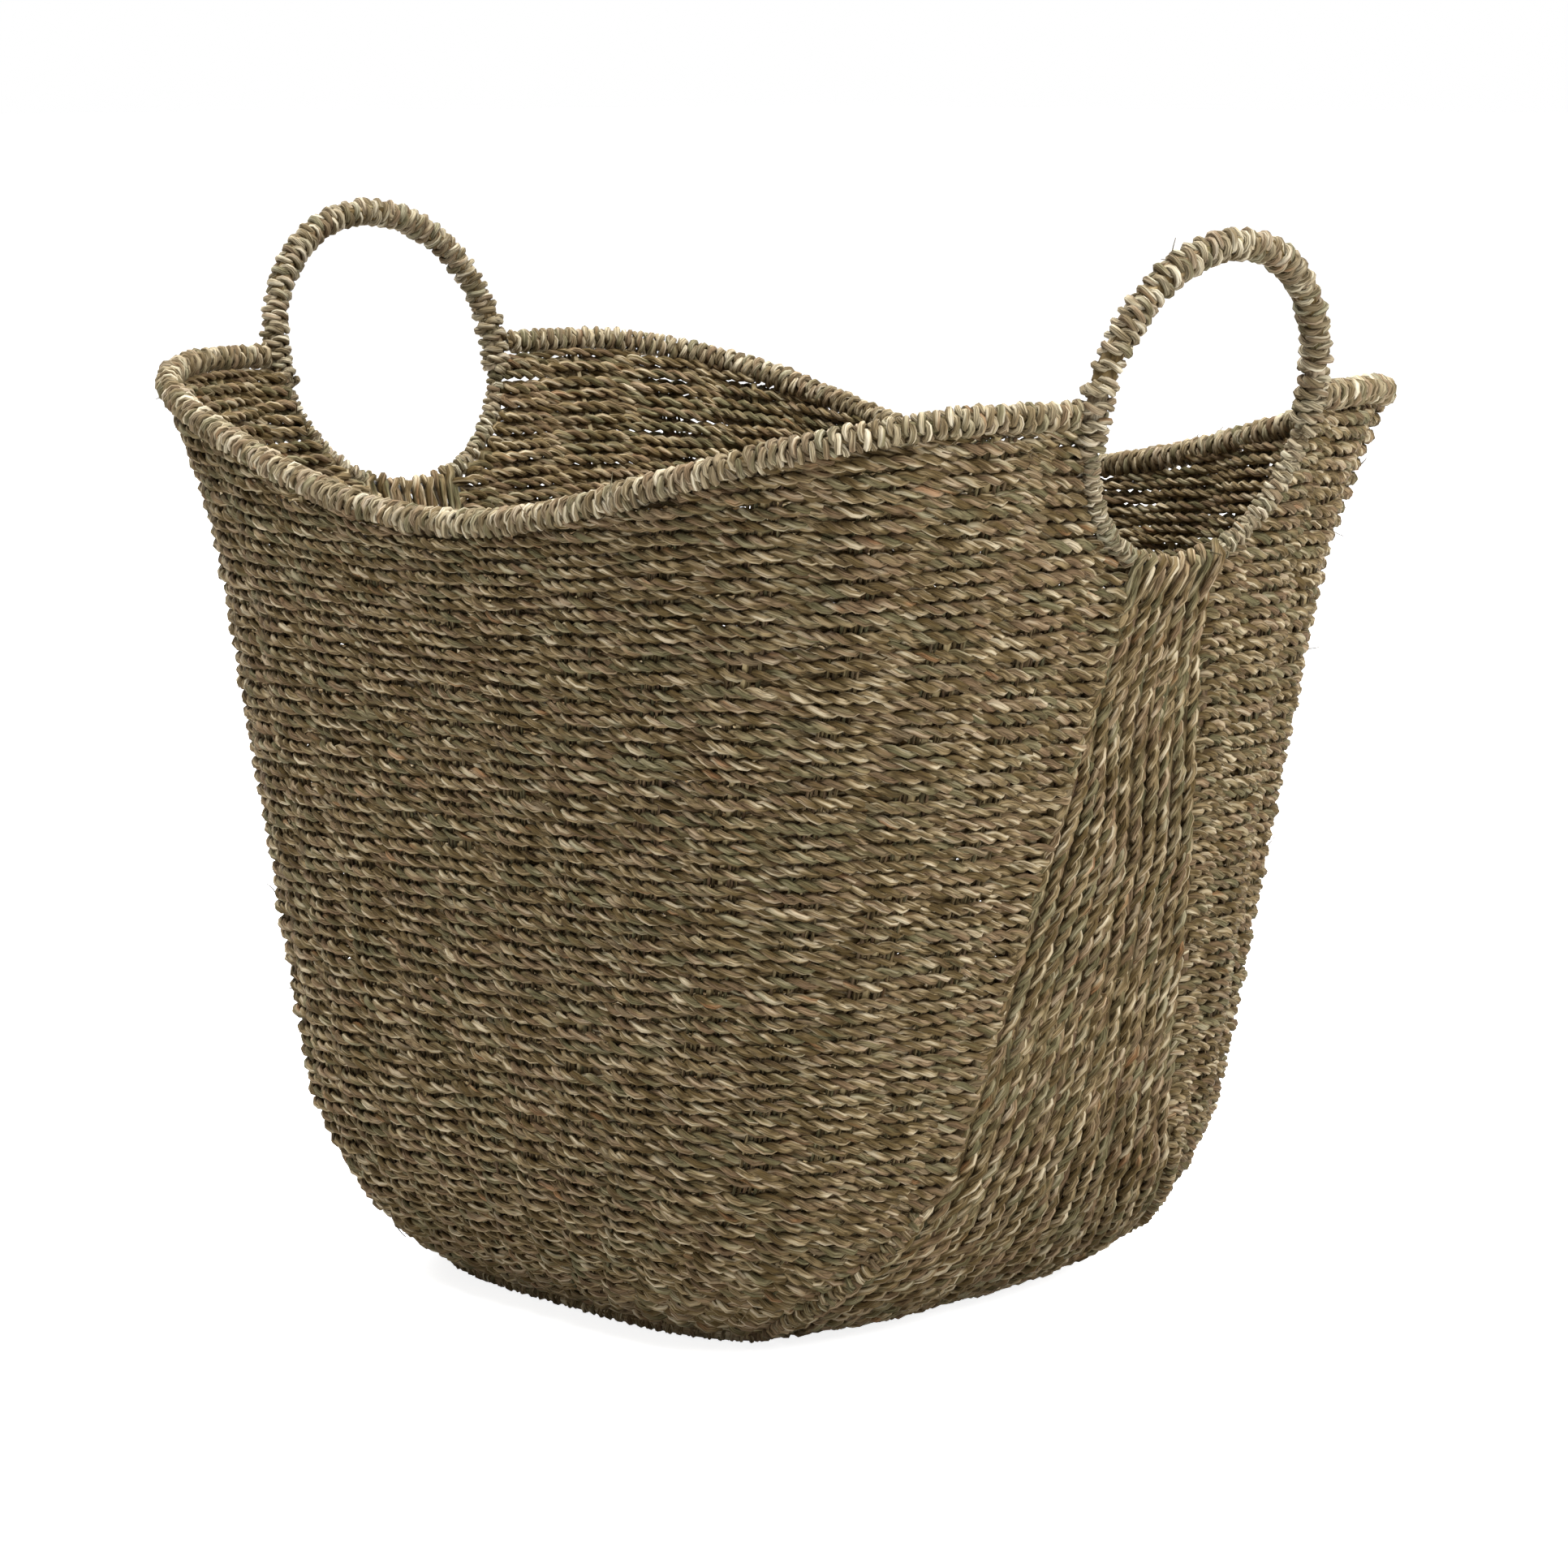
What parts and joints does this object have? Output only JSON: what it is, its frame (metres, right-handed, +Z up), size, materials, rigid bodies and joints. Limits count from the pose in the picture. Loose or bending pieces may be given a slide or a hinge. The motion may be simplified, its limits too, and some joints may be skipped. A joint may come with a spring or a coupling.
{
  "type": "magazine basket",
  "caption": "Tall open basket of twisted seagrass rope woven on a wire and cane frame, with a dipped rim and an oval handle ring at each end.",
  "frame": {"origin": "under the middle of the basket, on the surface that it stands on", "axes": "+X along the length to the right handle, -Y to the front, +Z up"},
  "size_m": [0.4424, 0.309, 0.376],
  "materials": {
    "woven_rope": "matt woven seagrass rope",
    "wound_cord": "matt seagrass cord, wound close",
    "grass_padding": "loose dry grass",
    "steel_wire": "dull drawn wire",
    "cane": "split pale cane"
  },
  "bodies": {
    "root": {"front_panel": "woven_rope", "front_stake_1": "cane", "front_stake_2": "cane", "front_stake_3": "cane", "front_stake_4": "cane", "front_stake_5": "cane", "front_stake_6": "cane", "front_stake_7": "cane", "front_rim_wire": "steel_wire", "front_rim_padding": "grass_padding", "front_rim_winding": "wound_cord", "back_panel": "woven_rope", "back_stake_1": "cane", "back_stake_2": "cane", "back_stake_3": "cane", "back_stake_4": "cane", "back_stake_5": "cane", "back_stake_6": "cane", "back_stake_7": "cane", "back_rim_wire": "steel_wire", "back_rim_padding": "grass_padding", "back_rim_winding": "wound_cord", "right_gusset": "woven_rope", "right_rung_1": "cane", "right_rung_2": "cane", "right_rung_3": "cane", "right_rung_4": "cane", "right_front_seam_wire": "steel_wire", "right_back_seam_wire": "steel_wire", "right_ring_wire": "steel_wire", "right_grip_padding": "grass_padding", "right_grip_winding": "wound_cord", "right_opening_binding": "wound_cord", "right_front_tie": "wound_cord", "right_back_tie": "wound_cord", "left_gusset": "woven_rope", "left_rung_1": "cane", "left_rung_2": "cane", "left_rung_3": "cane", "left_rung_4": "cane", "left_back_seam_wire": "steel_wire", "left_front_seam_wire": "steel_wire", "left_ring_wire": "steel_wire", "left_grip_padding": "grass_padding", "left_grip_winding": "wound_cord", "left_opening_binding": "wound_cord", "left_back_tie": "wound_cord", "left_front_tie": "wound_cord", "base_panel": "woven_rope", "base_wire": "steel_wire", "base_stake_1": "cane", "base_stake_2": "cane", "base_stake_3": "cane", "base_stake_4": "cane", "base_stake_5": "cane"}
  },
  "joints": []
}
